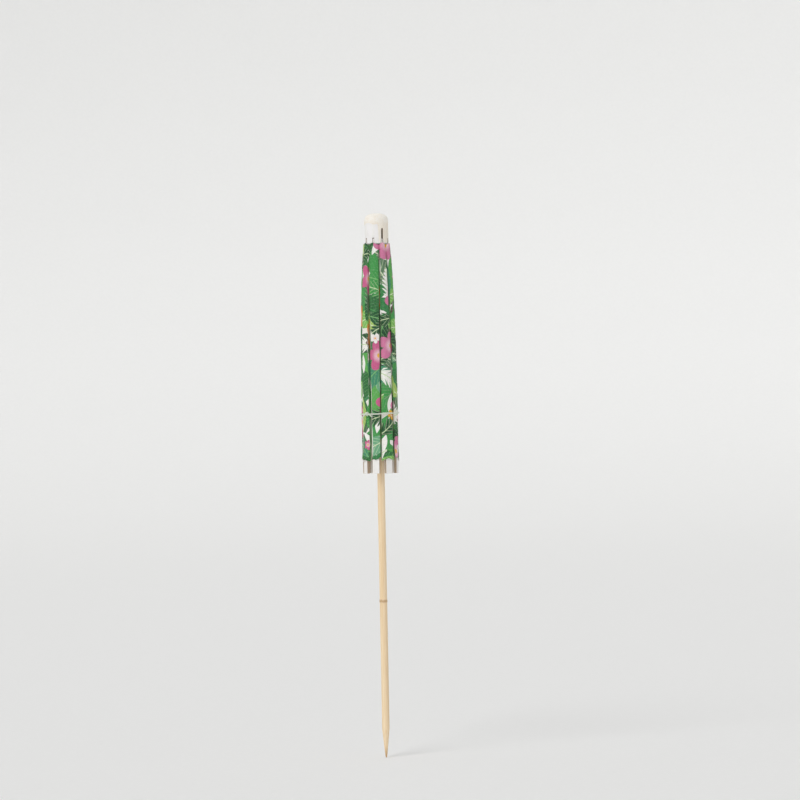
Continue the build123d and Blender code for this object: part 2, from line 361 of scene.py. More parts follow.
def print_leaf(tree, below, flat, place, reach, width, teeth, inks, vein_ink):
    """Lays a scatter of leaves, with their veins, over the colour below. Leaves with teeth are fronds."""
    x, y, chance, _ = scatter(tree, flat, *place)
    side = add(tree, "Math", y, operation="ABSOLUTE")
    share = add(tree, "Math", x, reach, operation="DIVIDE")
    bulge = add(tree, "Math", share, share, operation="MULTIPLY")
    edge = add(tree, "Math", bulge, -width, width, operation="MULTIPLY_ADD")
    slant = add(tree, "Math", side, -1.3, x, operation="MULTIPLY_ADD")
    if teeth:
        wave = add(tree, "Math", add(tree, "Math", slant, teeth, operation="MULTIPLY"), operation="SINE")
        notch = add(tree, "Math", add(tree, "Math", wave, operation="ABSOLUTE"), 0.6, 0.4, operation="MULTIPLY_ADD")
        edge = add(tree, "Math", edge, notch, operation="MULTIPLY")
    depth = add(tree, "Math", edge, side, operation="SUBTRACT")
    mask = add(tree, "MapRange", depth, 0.0, 0.12, **SOFT)
    ripple = add(tree, "Math", add(tree, "Math", slant, 3.4, operation="MULTIPLY"), operation="SINE")
    veins = add(tree, "MapRange", ripple, 0.75, 0.95, 0.0, 0.5, **SOFT)
    middle = add(tree, "MapRange", side, 0.1, 0.22, 1.0, 0.0, **SOFT)
    lines = add(tree, "Math", veins, middle, operation="MAXIMUM")
    ink = ink_by_chance(tree, chance, inks)
    leaf = add(tree, "Mix", named={0: lines, 6: ink, 7: linear(vein_ink)}, **RGBA)
    return add(tree, "Mix", named={0: mask, 6: below, 7: leaf}, **RGBA)


def print_blossom(tree, below, flat, place, reach, share, inks):
    """Lays a scatter of five-petalled blossoms over the colour below, on a share of the places."""
    x, y, chance, other = scatter(tree, flat, *place)
    radius = add(tree, "VectorMath", add(tree, "CombineXYZ", x, y), out="Value", operation="LENGTH")
    turn = add(tree, "Math", add(tree, "Math", y, x, operation="ARCTAN2"), 2.5, operation="MULTIPLY")
    lobe = add(tree, "Math", add(tree, "Math", turn, operation="COSINE"), operation="ABSOLUTE")
    petal = add(tree, "Math", lobe, 0.45 * reach, 0.55 * reach, operation="MULTIPLY_ADD")
    depth = add(tree, "Math", petal, radius, operation="SUBTRACT")
    mask = add(tree, "MapRange", depth, 0.0, 0.12, **SOFT)
    shown = add(tree, "Math", mask, add(tree, "Math", other, share, operation="LESS_THAN"), operation="MULTIPLY")
    flush = add(tree, "MapRange", radius, 0.2 * reach, 0.55 * reach, 0.75, 0.0, **SOFT)
    ink = ink_by_chance(tree, chance, inks)
    ink = add(tree, "Mix", named={0: flush, 6: ink, 7: linear("#f6d3dc")}, **RGBA)
    eye = add(tree, "MapRange", radius, 0.14 * reach, 0.18 * reach, 1.0, 0.0, **SOFT)
    ink = add(tree, "Mix", named={0: eye, 6: ink, 7: linear("#f0b93a")}, **RGBA)
    return add(tree, "Mix", named={0: shown, 6: below, 7: ink}, **RGBA)


def printed_tissue_paper():
    """Tissue paper printed in flat inks: matt, with sharp edged leaves and blossoms on unbleached white."""
    material, tree, shader = new_material("printed_tissue_paper")
    # The print's map covers 200 mm, so the sizes of its motifs are millimetres of flat paper
    uv = add(tree, "UVMap", uv_map="print")
    flat = add(tree, "VectorMath", uv, (200, 200, 0), (-100, -100, 0), operation="MULTIPLY_ADD")
    sizes = bpy.context.scene.umbrella_canopy
    leaf, blossom = tuple(sizes.leaf), tuple(sizes.blossom)
    broad = (leaf, "#2a6d38", "#5cae50", "#2f8146")
    pale = ("#7cc055", "#a5c95f", "#5d7f5f", "#6fae84")
    deep = ("#194a2a", leaf, "#1e5a30", "#3f8f6c")
    mixed = (leaf, "#fbf9f4", "#1b522c", "#476a4f")
    white = ("#fbf9f4",)
    dusky = ("#4c6d50", "#5d4d40", leaf, "#388553")
    # Each layer's cell, shift and randomness, half a leaf's length and width, its teeth, inks and veins
    layers = (
        ((14.5, 11.6, 0.35), 9.0, 5.8, 0.0, dusky, "#86a57f"),
        ((17.0, 9.4, 0.4), 10.0, 6.4, 0.0, broad, "#6cb565"),
        ((18.0, 2.6, 0.5), 10.2, 6.0, 0.0, broad, "#4fa257"),
        ((8.5, 4.4, 0.7), 3.6, 1.1, 0.0, white, white[0]),
        ((15.5, 3.1, 0.5), 8.2, 3.3, 0.0, pale, "#dfecc6"),
        ((17.5, 0.4, 0.5), 9.4, 3.6, 0.0, deep, "#7fbf74"),
        ((16.0, 7.7, 0.5), 8.6, 3.3, 1.6, mixed, "#cfe3b4"),
    )
    ink = tuple(sizes.ground)
    for layer in layers:
        ink = print_leaf(tree, ink, flat, *layer)
    ink = print_blossom(tree, ink, flat, (17.0, 5.3, 0.6), 5.8, 0.6, (blossom, "#e08a2c", "#d67ba3", "#bf4a78"))
    ink = print_blossom(tree, ink, flat, (10.5, 1.9, 0.9), 2.0, 0.4, ("#6f5c4b", "#f0b93a", blossom, "#f6f4ee"))
    # Paper fibres are finer than a pixel, so the mottle is drawn at 0.6 mm
    mottle = add(tree, "TexNoise", flat, named={"Scale": 1 / 0.6, "Detail": 4.0})
    faded = add(tree, "MapRange", mottle, 0.5, 0.85, 0.0, 0.16)
    grain = add(tree, "TexNoise", flat, named={"Scale": 1 / 0.3, "Detail": 2.0})
    thick = add(tree, "MapRange", grain, 0.45, 0.75, 0.0, 0.24)
    heavy = {0: thick, 6: ink, 7: linear("#33402f")}
    ink = add(tree, "Mix", named=heavy, **RGBA, blend_type="MULTIPLY")
    ink = add(tree, "Mix", named={0: faded, 6: ink, 7: linear("#fbf8f0")}, **RGBA)
    dry = add(tree, "Math", mottle, 0.2, 0.65, operation="MULTIPLY_ADD")
    surface(shader, ink, dry, mottle, 0.03 * MM, 0.6)
    return material


def plain_tissue_paper():
    """The unprinted back of the tissue: matt off-white, with the print showing through as a faint green cloud."""
    material, tree, shader = new_material("plain_tissue_paper")
    place = add(tree, "TexCoord", out="Object")
    cloud = add(tree, "TexNoise", place, named={"Scale": 1 / (7 * MM), "Detail": 2.0})
    ghost = add(tree, "MapRange", cloud, 0.45, 0.65, 0.0, 0.5, **SOFT)
    tone = add(tree, "Mix", named={0: ghost, 6: linear("#eeeadf"), 7: linear("#cfdcc4")}, **RGBA)
    fibre = add(tree, "TexNoise", place, named={"Scale": 1 / (0.6 * MM), "Detail": 4.0})
    surface(shader, tone, 0.85, fibre, 0.03 * MM)
    return material


def cut_tissue_edge():
    """The cut edge of the tissue: bare white fibre, a thin bright line along the hem."""
    material, tree, shader = new_material("cut_tissue_edge")
    place = add(tree, "TexCoord", out="Object")
    fibre = add(tree, "TexNoise", place, named={"Scale": 1 / (0.5 * MM), "Detail": 3.0})
    tone = add(tree, "Mix", named={0: fibre, 6: linear("#f7f4ec"), 7: linear("#dcd8cb")}, **RGBA)
    surface(shader, tone, 0.9)
    return material


def white_lined_board(name, cut_low, cut_high, face, core, end=None):
    """Grey-brown chipboard with a white liner: smooth white faces, and fibrous brown where it was cut.

    A cut side is where the distance from the nearest rib's plane passes from cut_low to cut_high, in metres.
    An end is a height below which the board's cut end shows.
    """
    material, tree, shader = new_material(name)
    place = add(tree, "TexCoord", out="Object")
    spot = add(tree, "SeparateXYZ", place).node
    x, y, z = spot.outputs
    azimuth = add(tree, "Math", y, x, operation="ARCTAN2")
    turn = add(tree, "Math", azimuth, PITCH / 2, -PITCH / 2, operation="WRAP")
    radius = add(tree, "VectorMath", add(tree, "CombineXYZ", x, y), out="Value", operation="LENGTH")
    side = add(tree, "Math", radius, add(tree, "Math", turn, operation="SINE"), operation="MULTIPLY")
    aside = add(tree, "Math", side, operation="ABSOLUTE")
    # Board fibre is far finer than a pixel, so it is drawn as clumps of 0.35 mm
    fibre = add(tree, "TexNoise", place, named={"Scale": 1 / (0.35 * MM), "Detail": 5.0, "Roughness": 0.65})
    frayed = add(tree, "Math", fibre, 0.04 * MM, aside, operation="MULTIPLY_ADD")
    cut = add(tree, "MapRange", frayed, cut_low, cut_high, **SOFT)
    if end is not None:
        tip = add(tree, "MapRange", z, end, end + 0.06 * MM, 1.0, 0.0)
        cut = add(tree, "Math", cut, tip, operation="MAXIMUM")
    smudge = add(tree, "TexNoise", place, named={"Scale": 1 / (3.0 * MM), "Detail": 3.0})
    dull = add(tree, "MapRange", smudge, 0.45, 0.8, 0.0, 0.35)
    liner = add(tree, "Mix", named={0: dull, 6: face, 7: linear("#ddd6cb")}, **RGBA)
    pulp = add(tree, "Mix", named={0: fibre, 6: core, 7: linear("#c9b79f")}, **RGBA)
    tone = add(tree, "Mix", named={0: cut, 6: liner, 7: pulp}, **RGBA)
    surface(shader, tone, add(tree, "Math", cut, 0.25, 0.62, operation="MULTIPLY_ADD"), fibre, 0.05 * MM)
    return material


def dipped_chalk():
    """Chalk and paper pulp in glue, dipped and dried: matt cream, lumpy, with painted shade in the fine hollows of
    its grit, and a yellowed edge.
    """
    material, tree, shader = new_material("dipped_chalk")
    place = add(tree, "TexCoord", out="Object")
    lumps = add(tree, "TexNoise", place, named={"Scale": 1 / (1.4 * MM), "Detail": 4.0})
    grit = add(tree, "TexNoise", place, named={"Scale": 1 / (0.3 * MM), "Detail": 5.0, "Roughness": 0.7})
    height = add(tree, "SeparateXYZ", place, out=2)
    rim = add(tree, "MapRange", height, CAP_LOW[2], CAP_LOW[2] + 1.2 * MM, 0.25, 0.0)
    patch = add(tree, "MapRange", lumps, 0.4, 0.7, 0.0, 0.6)
    chalk = tuple(bpy.context.scene.umbrella_cap.chalk)
    tone = add(tree, "Mix", named={0: patch, 6: chalk, 7: linear("#f5ebdb")}, **RGBA)
    tone = add(tree, "Mix", named={0: rim, 6: tone, 7: linear("#e8d6b8")}, **RGBA)
    # The low places of the grit relief are painted darker: painted shade in the fine hollows
    pit_shade = add(tree, "MapRange", grit, 0.3, 0.42, 1.0, 0.0)
    tone = add(tree, "Mix", named={0: pit_shade, 6: tone, 7: linear("#dccbb0")}, **RGBA)
    surface(shader, tone, 0.88, add(tree, "Math", grit, 0.5, lumps, operation="MULTIPLY_ADD"), 0.12 * MM)
    return material


def wiped_chalk_paste():
    """White chalk paste, wiped into a slit with a finger: matt, as pale as the board beside it, faintly gritty."""
    material, tree, shader = new_material("wiped_chalk_paste")
    place = add(tree, "TexCoord", out="Object")
    grit = add(tree, "TexNoise", place, named={"Scale": 1 / (0.5 * MM), "Detail": 4.0, "Roughness": 0.6})
    tone = add(tree, "Mix", named={0: grit, 6: linear("#fbfaf8"), 7: linear("#f1eeea")}, **RGBA)
    surface(shader, tone, 0.8, grit, 0.05 * MM)
    return material


def split_bamboo():
    """Split and rounded bamboo: pale straw with fine long fibres, a darker node ring, and a satin skin."""
    settings = bpy.context.scene.umbrella_pick
    straw = tuple(settings.straw)
    material, tree, shader = new_material("split_bamboo")
    place = add(tree, "TexCoord", out="Object")
    # A fibre bundle is about 0.25 mm across and runs for some 25 mm
    drawn = add(tree, "VectorMath", place, (1 / (0.25 * MM), 1 / (0.25 * MM), 1 / (25 * MM)), operation="MULTIPLY")
    fibre = add(tree, "TexNoise", drawn, named={"Scale": 1.0, "Detail": 4.0, "Roughness": 0.6})
    broad = add(tree, "VectorMath", place, (1 / (1.1 * MM), 1 / (1.1 * MM), 1 / (60 * MM)), operation="MULTIPLY")
    stain = add(tree, "TexNoise", broad, named={"Scale": 1.0, "Detail": 2.0})
    strand = add(tree, "MapRange", fibre, 0.38, 0.62, **SOFT)
    tone = add(tree, "Mix", named={0: strand, 6: linear("#efd2a8"), 7: straw}, **RGBA)
    warm = add(tree, "MapRange", stain, 0.42, 0.72, 0.0, 0.55)
    tone = add(tree, "Mix", named={0: warm, 6: tone, 7: linear("#e5c394")}, **RGBA)
    height = add(tree, "SeparateXYZ", place, out=2)
    frayed = add(tree, "Math", fibre, 0.8 * MM, height, operation="MULTIPLY_ADD")
    away = add(tree, "Math", frayed, settings.node + 0.4 * MM, operation="SUBTRACT")
    ring = add(tree, "MapRange", add(tree, "Math", away, operation="ABSOLUTE"), 0.15 * MM, 0.75 * MM, 0.6, 0.0)
    tip = add(tree, "MapRange", frayed, PICK_LOW[2] + 0.4 * MM, PICK_LOW[2] + 4.5 * MM, 0.75, 0.0)
    ring = add(tree, "Math", ring, tip, operation="MAXIMUM")
    tone = add(tree, "Mix", named={0: ring, 6: tone, 7: linear("#a97a45")}, **RGBA)
    surface(shader, tone, add(tree, "Math", fibre, 0.2, 0.38, operation="MULTIPLY_ADD"), fibre, 0.05 * MM)
    return material


def spun_cotton(name, tint, hollow):
    """Two-ply cotton thread: soft, matt, off-white, with painted shade in the hollows between its hairs."""
    material, tree, shader = new_material(name)
    place = add(tree, "TexCoord", out="Object")
    # A cotton hair is about 0.02 mm thick, and is drawn at 0.12 mm to show
    hair = add(tree, "TexNoise", place, named={"Scale": 1 / (0.12 * MM), "Detail": 4.0, "Roughness": 0.7})
    # Where the hairs' relief is low the colour goes to the hollow colour: painted shade between the hairs
    tone = add(tree, "Mix", named={0: hair, 6: linear(hollow), 7: tint}, **RGBA)
    surface(shader, tone, 0.92, hair, 0.04 * MM)
    shader.inputs["Sheen Weight"].default_value = 0.25
    return material


def rolled_paper(name, tone_a, tone_b):
    """A strip of paper rolled tight and glued: matt, with the fine rings of its turns on the cut ends."""
    material, tree, shader = new_material(name)
    place = add(tree, "TexCoord", out="Object")
    spot = add(tree, "SeparateXYZ", place).node
    flat = add(tree, "CombineXYZ", spot.outputs[0], spot.outputs[1])
    radius = add(tree, "VectorMath", flat, out="Value", operation="LENGTH")
    # A turn of the roll is one paper thickness, 0.15 mm
    wound = add(tree, "Math", radius, math.tau / (0.15 * MM), operation="MULTIPLY")
    turns = add(tree, "Math", wound, operation="SINE")
    blots = add(tree, "TexNoise", place, named={"Scale": 1 / (1.5 * MM), "Detail": 4.0})
    level = add(tree, "Math", turns, 0.12, blots, operation="MULTIPLY_ADD")
    tone = add(tree, "Mix", named={0: level, 6: linear(tone_a), 7: linear(tone_b)}, **RGBA)
    surface(shader, tone, 0.85, level, 0.04 * MM)
    return material


def clear_vinyl_tubing():
    """Soft clear vinyl tube, cut to a slip: glossy, slightly milky, with faint drawing lines along it."""
    material, tree, shader = new_material("clear_vinyl_tubing")
    place = add(tree, "TexCoord", out="Object")
    drawn = add(tree, "VectorMath", place, (1 / (0.3 * MM), 1 / (0.3 * MM), 1 / (6 * MM)), operation="MULTIPLY")
    lines = add(tree, "TexNoise", drawn, named={"Scale": 1.0, "Detail": 2.0})
    tone = add(tree, "Mix", named={0: lines, 6: linear("#f4f6f5"), 7: linear("#e3ebe8")}, **RGBA)
    surface(shader, tone, add(tree, "Math", lines, 0.15, 0.08, operation="MULTIPLY_ADD"))
    shader.inputs["Transmission Weight"].default_value = 0.75
    shader.inputs["IOR"].default_value = 1.53
    return material


def studio_paper():
    """Pale studio paper: matt, a touch of tooth."""
    material, tree, shader = new_material("studio_paper")
    # The paper's tooth is drawn as clouds of 2.5 mm, as the real one is too fine to show
    place = add(tree, "TexCoord", out="Object")
    tooth = add(tree, "TexNoise", place, named={"Scale": 1 / (2.5 * MM)})
    tone = add(tree, "Mix", named={0: tooth, 6: linear("#f3f3f2"), 7: linear("#efefee")}, **RGBA)
    surface(shader, tone, 0.9)
    return material


# Pieces


class UMBRELLA_OT_pick(bpy.types.Operator):
    """Bamboo pick: turned from rings, with its node, a whittled point and slightly uneven sides"""

    bl_idname = "umbrella.pick"
    bl_label = "Bamboo pick"

    # The node's double ridge: heights from its middle and how far it swells there, in millimetres
    RIDGE = (
        *((-1.4, 0.0), (-0.8, 0.02), (-0.45, 0.07), (-0.15, 0.12)),
        *((0.1, 0.06), (0.3, 0.1), (0.6, 0.03), (1.3, 0.0)),
    )

    def execute(self, context):
        sizes = context.scene.umbrella_pick
        radius, low, high = sizes.radius, PICK_LOW[2], PICK_HIGH[2]
        rings = [(0.16 * MM, low), (0.25 * MM, low + 0.06 * MM)]
        for share in (0.1, 0.25, 0.45, 0.65, 0.82, 0.93, 1.0):
            rings.append((0.25 * MM + (radius - 0.25 * MM) * share**0.93, low + sizes.point * share))
        height = low + sizes.point
        while height < high - 4 * MM:
            height += 2 * MM
            if abs(height - sizes.node) > 1.6 * MM:
                rings.append((radius, height))
        rings += [(radius + swell * MM, sizes.node + step * MM) for step, swell in self.RIDGE]
        rings.sort(key=lambda ring: ring[1])
        rings += [(radius, high - 0.15 * MM), (radius - 0.15 * MM, high)]
        pick = lathe("bamboo_pick", rings, 40)
        for vertex in pick.data.vertices:
            x, y, z = vertex.co
            reach = math.hypot(x, y)
            uneven = noise.noise(Vector((x, y, z * 0.06)) / (0.9 * MM))
            facet = 0.035 * math.cos(5 * math.atan2(y, x) + 1.3) if z < low + sizes.point else 0.0
            pull = 1 - 0.012 + 0.012 * uneven + facet * min(1.0, reach / radius) * (1 - reach / radius) * 4
            vertex.co.x *= pull
            vertex.co.y *= pull
        pick.data.materials.append(split_bamboo())
        smooth(pick)
        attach(pick, "frame")
        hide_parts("pick")
        return {"FINISHED"}


class UMBRELLA_OT_cap(bpy.types.Operator):
    """Chalk cap: a dipped dome with an uneven lower edge, hollow over the crown and the pick's end"""

    bl_idname = "umbrella.cap"
    bl_label = "Chalk cap"

    # The slits that are wiped full, the open one that the dip ran down beside, and how low both reach: the ribs
    # have to turn below
    FULL_SLITS, OPEN_SLIT = (0, 1, 2, 4, 5, 6), 7
    SLIT_FOOT, RUN_FOOT = HINGE[2] + 0.8 * MM, CROWN_LOW[2] + 0.15 * MM
    # Degrees from the open slit to where the run begins and ends, over which it does, and that it leaves free
    RUN_START, RUN_END, RUN_EASE, FREE = -24, 86, 9, 5.1

    def edge(self, angle, sizes):
        """The height of the dip's lower edge at an angle round the crown."""
        low, pitch = CAP_LOW[2], math.degrees(PITCH)
        drip = noise.noise(Vector((math.cos(angle), math.sin(angle), 0.3)) * 2.2)
        height = low + sizes.drip * (drip - 0.05)
        side = math.degrees((angle - self.OPEN_SLIT * PITCH + math.pi) % math.tau - math.pi)
        begun = min(1.0, max(0.0, (side - self.RUN_START) / self.RUN_EASE))
        run = begun * min(1.0, max(0.0, (self.RUN_END - side) / self.RUN_EASE))
        foot = self.RUN_FOOT
        if abs((side + pitch / 2) % pitch - pitch / 2) < self.FREE:
            foot = low - sizes.bridge if abs(side) < pitch / 2 else self.SLIT_FOOT
        return height + (foot - height) * run * run * (3 - 2 * run)

    def execute(self, context):
        sizes = context.scene.umbrella_cap
        gap = 0.02 * MM
        pick_radius = context.scene.umbrella_pick.radius + gap
        crown = CROWN_RADIUS + gap
        top, low, crown_top, pick_top = CAP_HIGH[2], CAP_LOW[2], CROWN_HIGH[2] + gap, PICK_HIGH[2] + gap
        reach = CAP_HIGH[0] - 0.05 * MM
        rings = [(0.3 * MM, pick_top), (pick_radius, pick_top), (pick_radius, crown_top), (crown, crown_top)]
        rings += [(crown, low + 0.3 * MM), (crown + 0.05 * MM, low + 0.1 * MM), (reach - 0.03 * MM, low + 0.2 * MM)]
        rings += [(reach, low + 0.6 * MM), (reach, low + 1.1 * MM)]
        for step in range(9):
            lift = math.radians(step * 10.5)
            rings.append((reach * math.cos(lift) ** 0.8, top - 2.5 * MM + 2.5 * MM * math.sin(lift) ** 0.9))
        rings.append((0.25 * MM, top))
        cap = lathe("chalk_cap", rings, 144)
        dome = cap.vertex_groups.new(name="dome")
        for vertex in cap.data.vertices:
            x, y, z = vertex.co
            if z > low + 0.9 * MM:
                dome.add([vertex.index], 1.0, "REPLACE")
            elif math.hypot(x, y) > crown - 0.01 * MM:
                vertex.co.z += self.edge(math.atan2(y, x), sizes) - low
        apply_modifier(cap, "SUBSURF", levels=1, render_levels=1, use_limit_surface=False)
        lumps = bpy.data.textures.new("cap_lumps", "CLOUDS")
        lumps.noise_scale = 1.6 * MM
        uneven = {"strength": 0.16 * MM, "mid_level": 0.62, "vertex_group": "dome"}
        apply_modifier(cap, "DISPLACE", texture=lumps, texture_coords="LOCAL", **uneven)
        cap.data.materials.append(dipped_chalk())
        # Each full slit has a bar of paste, a little proud of the board and wider than the slit
        paste = wiped_chalk_paste()
        high = low + 0.6 * MM
        for slit in self.FULL_SLITS:
            foot = self.SLIT_FOOT + 0.1 * MM * noise.noise(Vector((slit * 3.7, 0.2, 0.1)))
            deselect()
            bpy.ops.mesh.primitive_cube_add(size=1)
            fill = context.object
            fill.scale = (1.0 * MM, 2 * SLIT_HALF + 0.12 * MM, high - foot)
            fill.location = polar(CROWN_RADIUS - 0.485 * MM, slit * PITCH, (high + foot) / 2)
            fill.rotation_euler.z = slit * PITCH
            bpy.ops.object.transform_apply()
            apply_modifier(fill, "BEVEL", width=0.04 * MM, segments=2)
            fill.data.materials.append(paste)
            cap.select_set(True)
            context.view_layer.objects.active = cap
            bpy.ops.object.join()
        smooth(cap, 60)
        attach(cap, "frame")
        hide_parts("crown_cap")
        return {"FINISHED"}


class UMBRELLA_OT_canopy(bpy.types.Operator):
    """Paper canopy: eight gores, each glued along two ribs and tucked in between them"""

    bl_idname = "umbrella.canopy"
    bl_label = "Paper canopy"

    # Shares of the way down, and the radii of the paper and of the bottom of a tuck there, in millimetres
    STATIONS = (0.0, 0.07, 0.22, 0.54, 0.78, 0.9, 1.0)
    RADII = (4.85, 5.35, 6.0, 6.6, 6.74, 6.72, 6.68)
    TUCKS = (4.4, 4.42, 4.5, 4.6, 4.7, 4.73, 4.75)
    # Where the tuck lies beside the middle of its gore, at the top and at the hem, in millimetres
    LEANS = (
        *((0.2, -0.4), (-0.25, 0.5), (0.15, 0.4), (-0.2, -0.5)),
        *((0.25, 0.5), (-0.2, 0.45), (0.22, -0.5), (-0.15, 0.35)),
    )
    # How far the paper rolls in at either side of its tuck, so that one side laps the other, in millimetres
    ROLLS = ((0.25, 0.95), (0.3, 0.85), (0.9, 0.25), (0.35, 0.9), (0.2, 0.8), (0.25, 1.0), (0.3, 0.9), (0.85, 0.3))
    # How far the hem swings up or down towards the tuck, at either side, as shares of the hem wave
    HANGS = ((-0.5, 0.9), (0.2, -0.7), (0.8, -0.3), (-0.6, 0.5), (0.6, -0.8), (-0.3, 0.7), (0.9, -0.5), (-0.7, 0.4))
    # Rows of points down a gore, and columns over one flat side and down and up its tuck
    ROWS, PANEL, TUCK = 96, 10, 28

    def gore(self, index, sizes):
        """One gore's mesh with its print map, and two points across its middle, the width of a tuck's mouth apart.
        """
        top, hem = GORE_HIGH[2] + sizes.lap, GORE_LOW[2]
        length, middle = top - hem, (top + hem) / 2
        mid = (index + 0.5) * PITCH
        out = Vector((math.cos(mid), math.sin(mid), 0))
        across = Vector((-math.sin(mid), math.cos(mid), 0))
        lean_top, lean_hem = (lean * MM for lean in self.LEANS[index])
        slope = (lean_top - lean_hem) / length
        shift = (lean_top + lean_hem) / 2
        mouth, rolls, hangs = sizes.mouth, self.ROLLS[index], self.HANGS[index]
        tie = (TIE_LOW[2] + TIE_HIGH[2]) / 2 + 0.4 * MM
        open_lean = OPENING + math.radians(1.5)
        flat_gore = PITCH * math.sin(open_lean)
        points, flats = [], []

        def creased(radius, height, angle, loose):
            place = polar(radius, angle, height)
            crease = noise.noise(Vector((place.x, place.y, place.z * 0.3)) / (1.3 * MM))
            buckle = noise.noise(Vector((place.x, place.y, place.z * 1.3 + place.x * 0.8)) / (3.0 * MM))
            pinch = math.exp(-(((height - tie) / (1.3 * MM)) ** 2))
            relief = sizes.crease * (0.7 * crease + 0.8 * buckle) * (0.3 + 0.7 * loose)
            return radius + relief - 0.2 * MM * pinch * loose**2

        for row in range(self.ROWS):
            share = row / (self.ROWS - 1)
            radius = along(self.STATIONS, self.RADII, share) * MM
            floor = along(self.STATIONS, self.TUCKS, share) * MM
            for column in range(2 * self.PANEL + self.TUCK + 1):
                left = column <= self.PANEL
                right = column >= self.PANEL + self.TUCK
                step = column if left else 2 * self.PANEL + self.TUCK - column
                near = min(1.0, step / self.PANEL)
                fold = 0.0 if left else 1.0 if right else (column - self.PANEL) / self.TUCK
                angle = mid + PITCH / 2 * ((near - 1) if fold < 0.5 else (1 - near))
                ring = Vector((math.cos(angle), math.sin(angle), 0))
                hang = noise.noise(ring * 1.7 + Vector((0, 0, 4.2))) + 0.3 * noise.noise(ring * 6)
                hang += near * (hangs[0] + (hangs[1] - hangs[0]) * fold)
                dip = near**1.6 + 0.5 * noise.noise(ring * 2.4 + Vector((0, 0, 7.1)))
                swing = sizes.hem_wave * hang * share**6 - sizes.scallop * dip * (1 - share) ** 10
                height = top - share * length + swing
                valley = shift + slope * (height - middle)
                radius_here = radius + 0.35 * MM * near * max(0.0, (share - 0.93) / 0.07) ** 2
                rolled = radius_here - (rolls[0] + (rolls[1] - rolls[0]) * fold) * MM * near**3
                reach = creased(rolled, height, angle, near)
                if left or right:
                    side = -1 if left else 1
                    gape = noise.noise(Vector((index * 7.3, side * 2.9, height / (13 * MM)))) + 0.15
                    gape = mouth + sizes.gape * max(0.0, gape) * math.sin(math.pi * share**0.7)
                    edge = math.asin((valley + side * gape) / reach)
                    turn = side * PITCH / 2 * (1 - near) + edge * near
                    place = out * (reach * math.cos(turn)) + across * (reach * math.sin(turn))
                    strip = reach * (PITCH / 2 - side * turn)
                else:
                    eased = 0.5 - math.sin(math.asin(1 - 2 * fold) / 3)
                    depth = 1 - abs(2 * fold - 1)
                    reach += (floor - reach) * depth
                    aside = valley + mouth * (2 * eased - 1)
                    place = out * math.sqrt(reach**2 - aside**2) + across * aside
                    strip = rolled * PITCH / 2
                points.append(place + Vector((0, 0, height)))
                slant = HINGE[2] - height + HINGE[0] / math.sin(open_lean)
                edge_turn = strip / slant
                if left or right:
                    flat_turn = edge_turn if left else flat_gore - edge_turn
                else:
                    flat_turn = edge_turn + (flat_gore - 2 * edge_turn) * fold
                flat_turn += index * flat_gore
                flats.append((0.5 + slant * math.cos(flat_turn) / 0.2, 0.5 + slant * math.sin(flat_turn) / 0.2))
        wide = 2 * self.PANEL + self.TUCK + 1
        faces = []
        for row in range(self.ROWS - 1):
            for column in range(wide - 1):
                first = row * wide + column
                faces.append((first, first + wide, first + wide + 1, first + 1))
        mesh = bpy.data.meshes.new(f"canopy_gore_{index + 1}")
        mesh.from_pydata(points, [], faces)
        uv = mesh.uv_layers.new(name="print")
        for loop in mesh.loops:
            uv.data[loop.index].uv = flats[loop.vertex_index]
        tilted = across - Vector((0, 0, slope))
        base = across * shift + Vector((0, 0, middle))
        half = tilted * (mouth / tilted.length_squared)
        return mesh, base - half, base + half

    def execute(self, context):
        sizes = context.scene.umbrella_canopy
        inks = printed_tissue_paper(), plain_tissue_paper(), cut_tissue_edge()
        for index in range(RIBS):
            mesh, start, end = self.gore(index, sizes)
            gore = bpy.data.objects.new(mesh.name, mesh)
            context.collection.objects.link(gore)
            for ink in inks:
                mesh.materials.append(ink)
            smooth(gore, 50)
            wall = gore.modifiers.new("Paper", "SOLIDIFY")
            wall.thickness = sizes.thickness
            wall.offset = -1
            wall.material_offset = 1
            wall.material_offset_rim = 2
            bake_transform(gore)
            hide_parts(f"gore_{index + 1}")
        return {"FINISHED"}


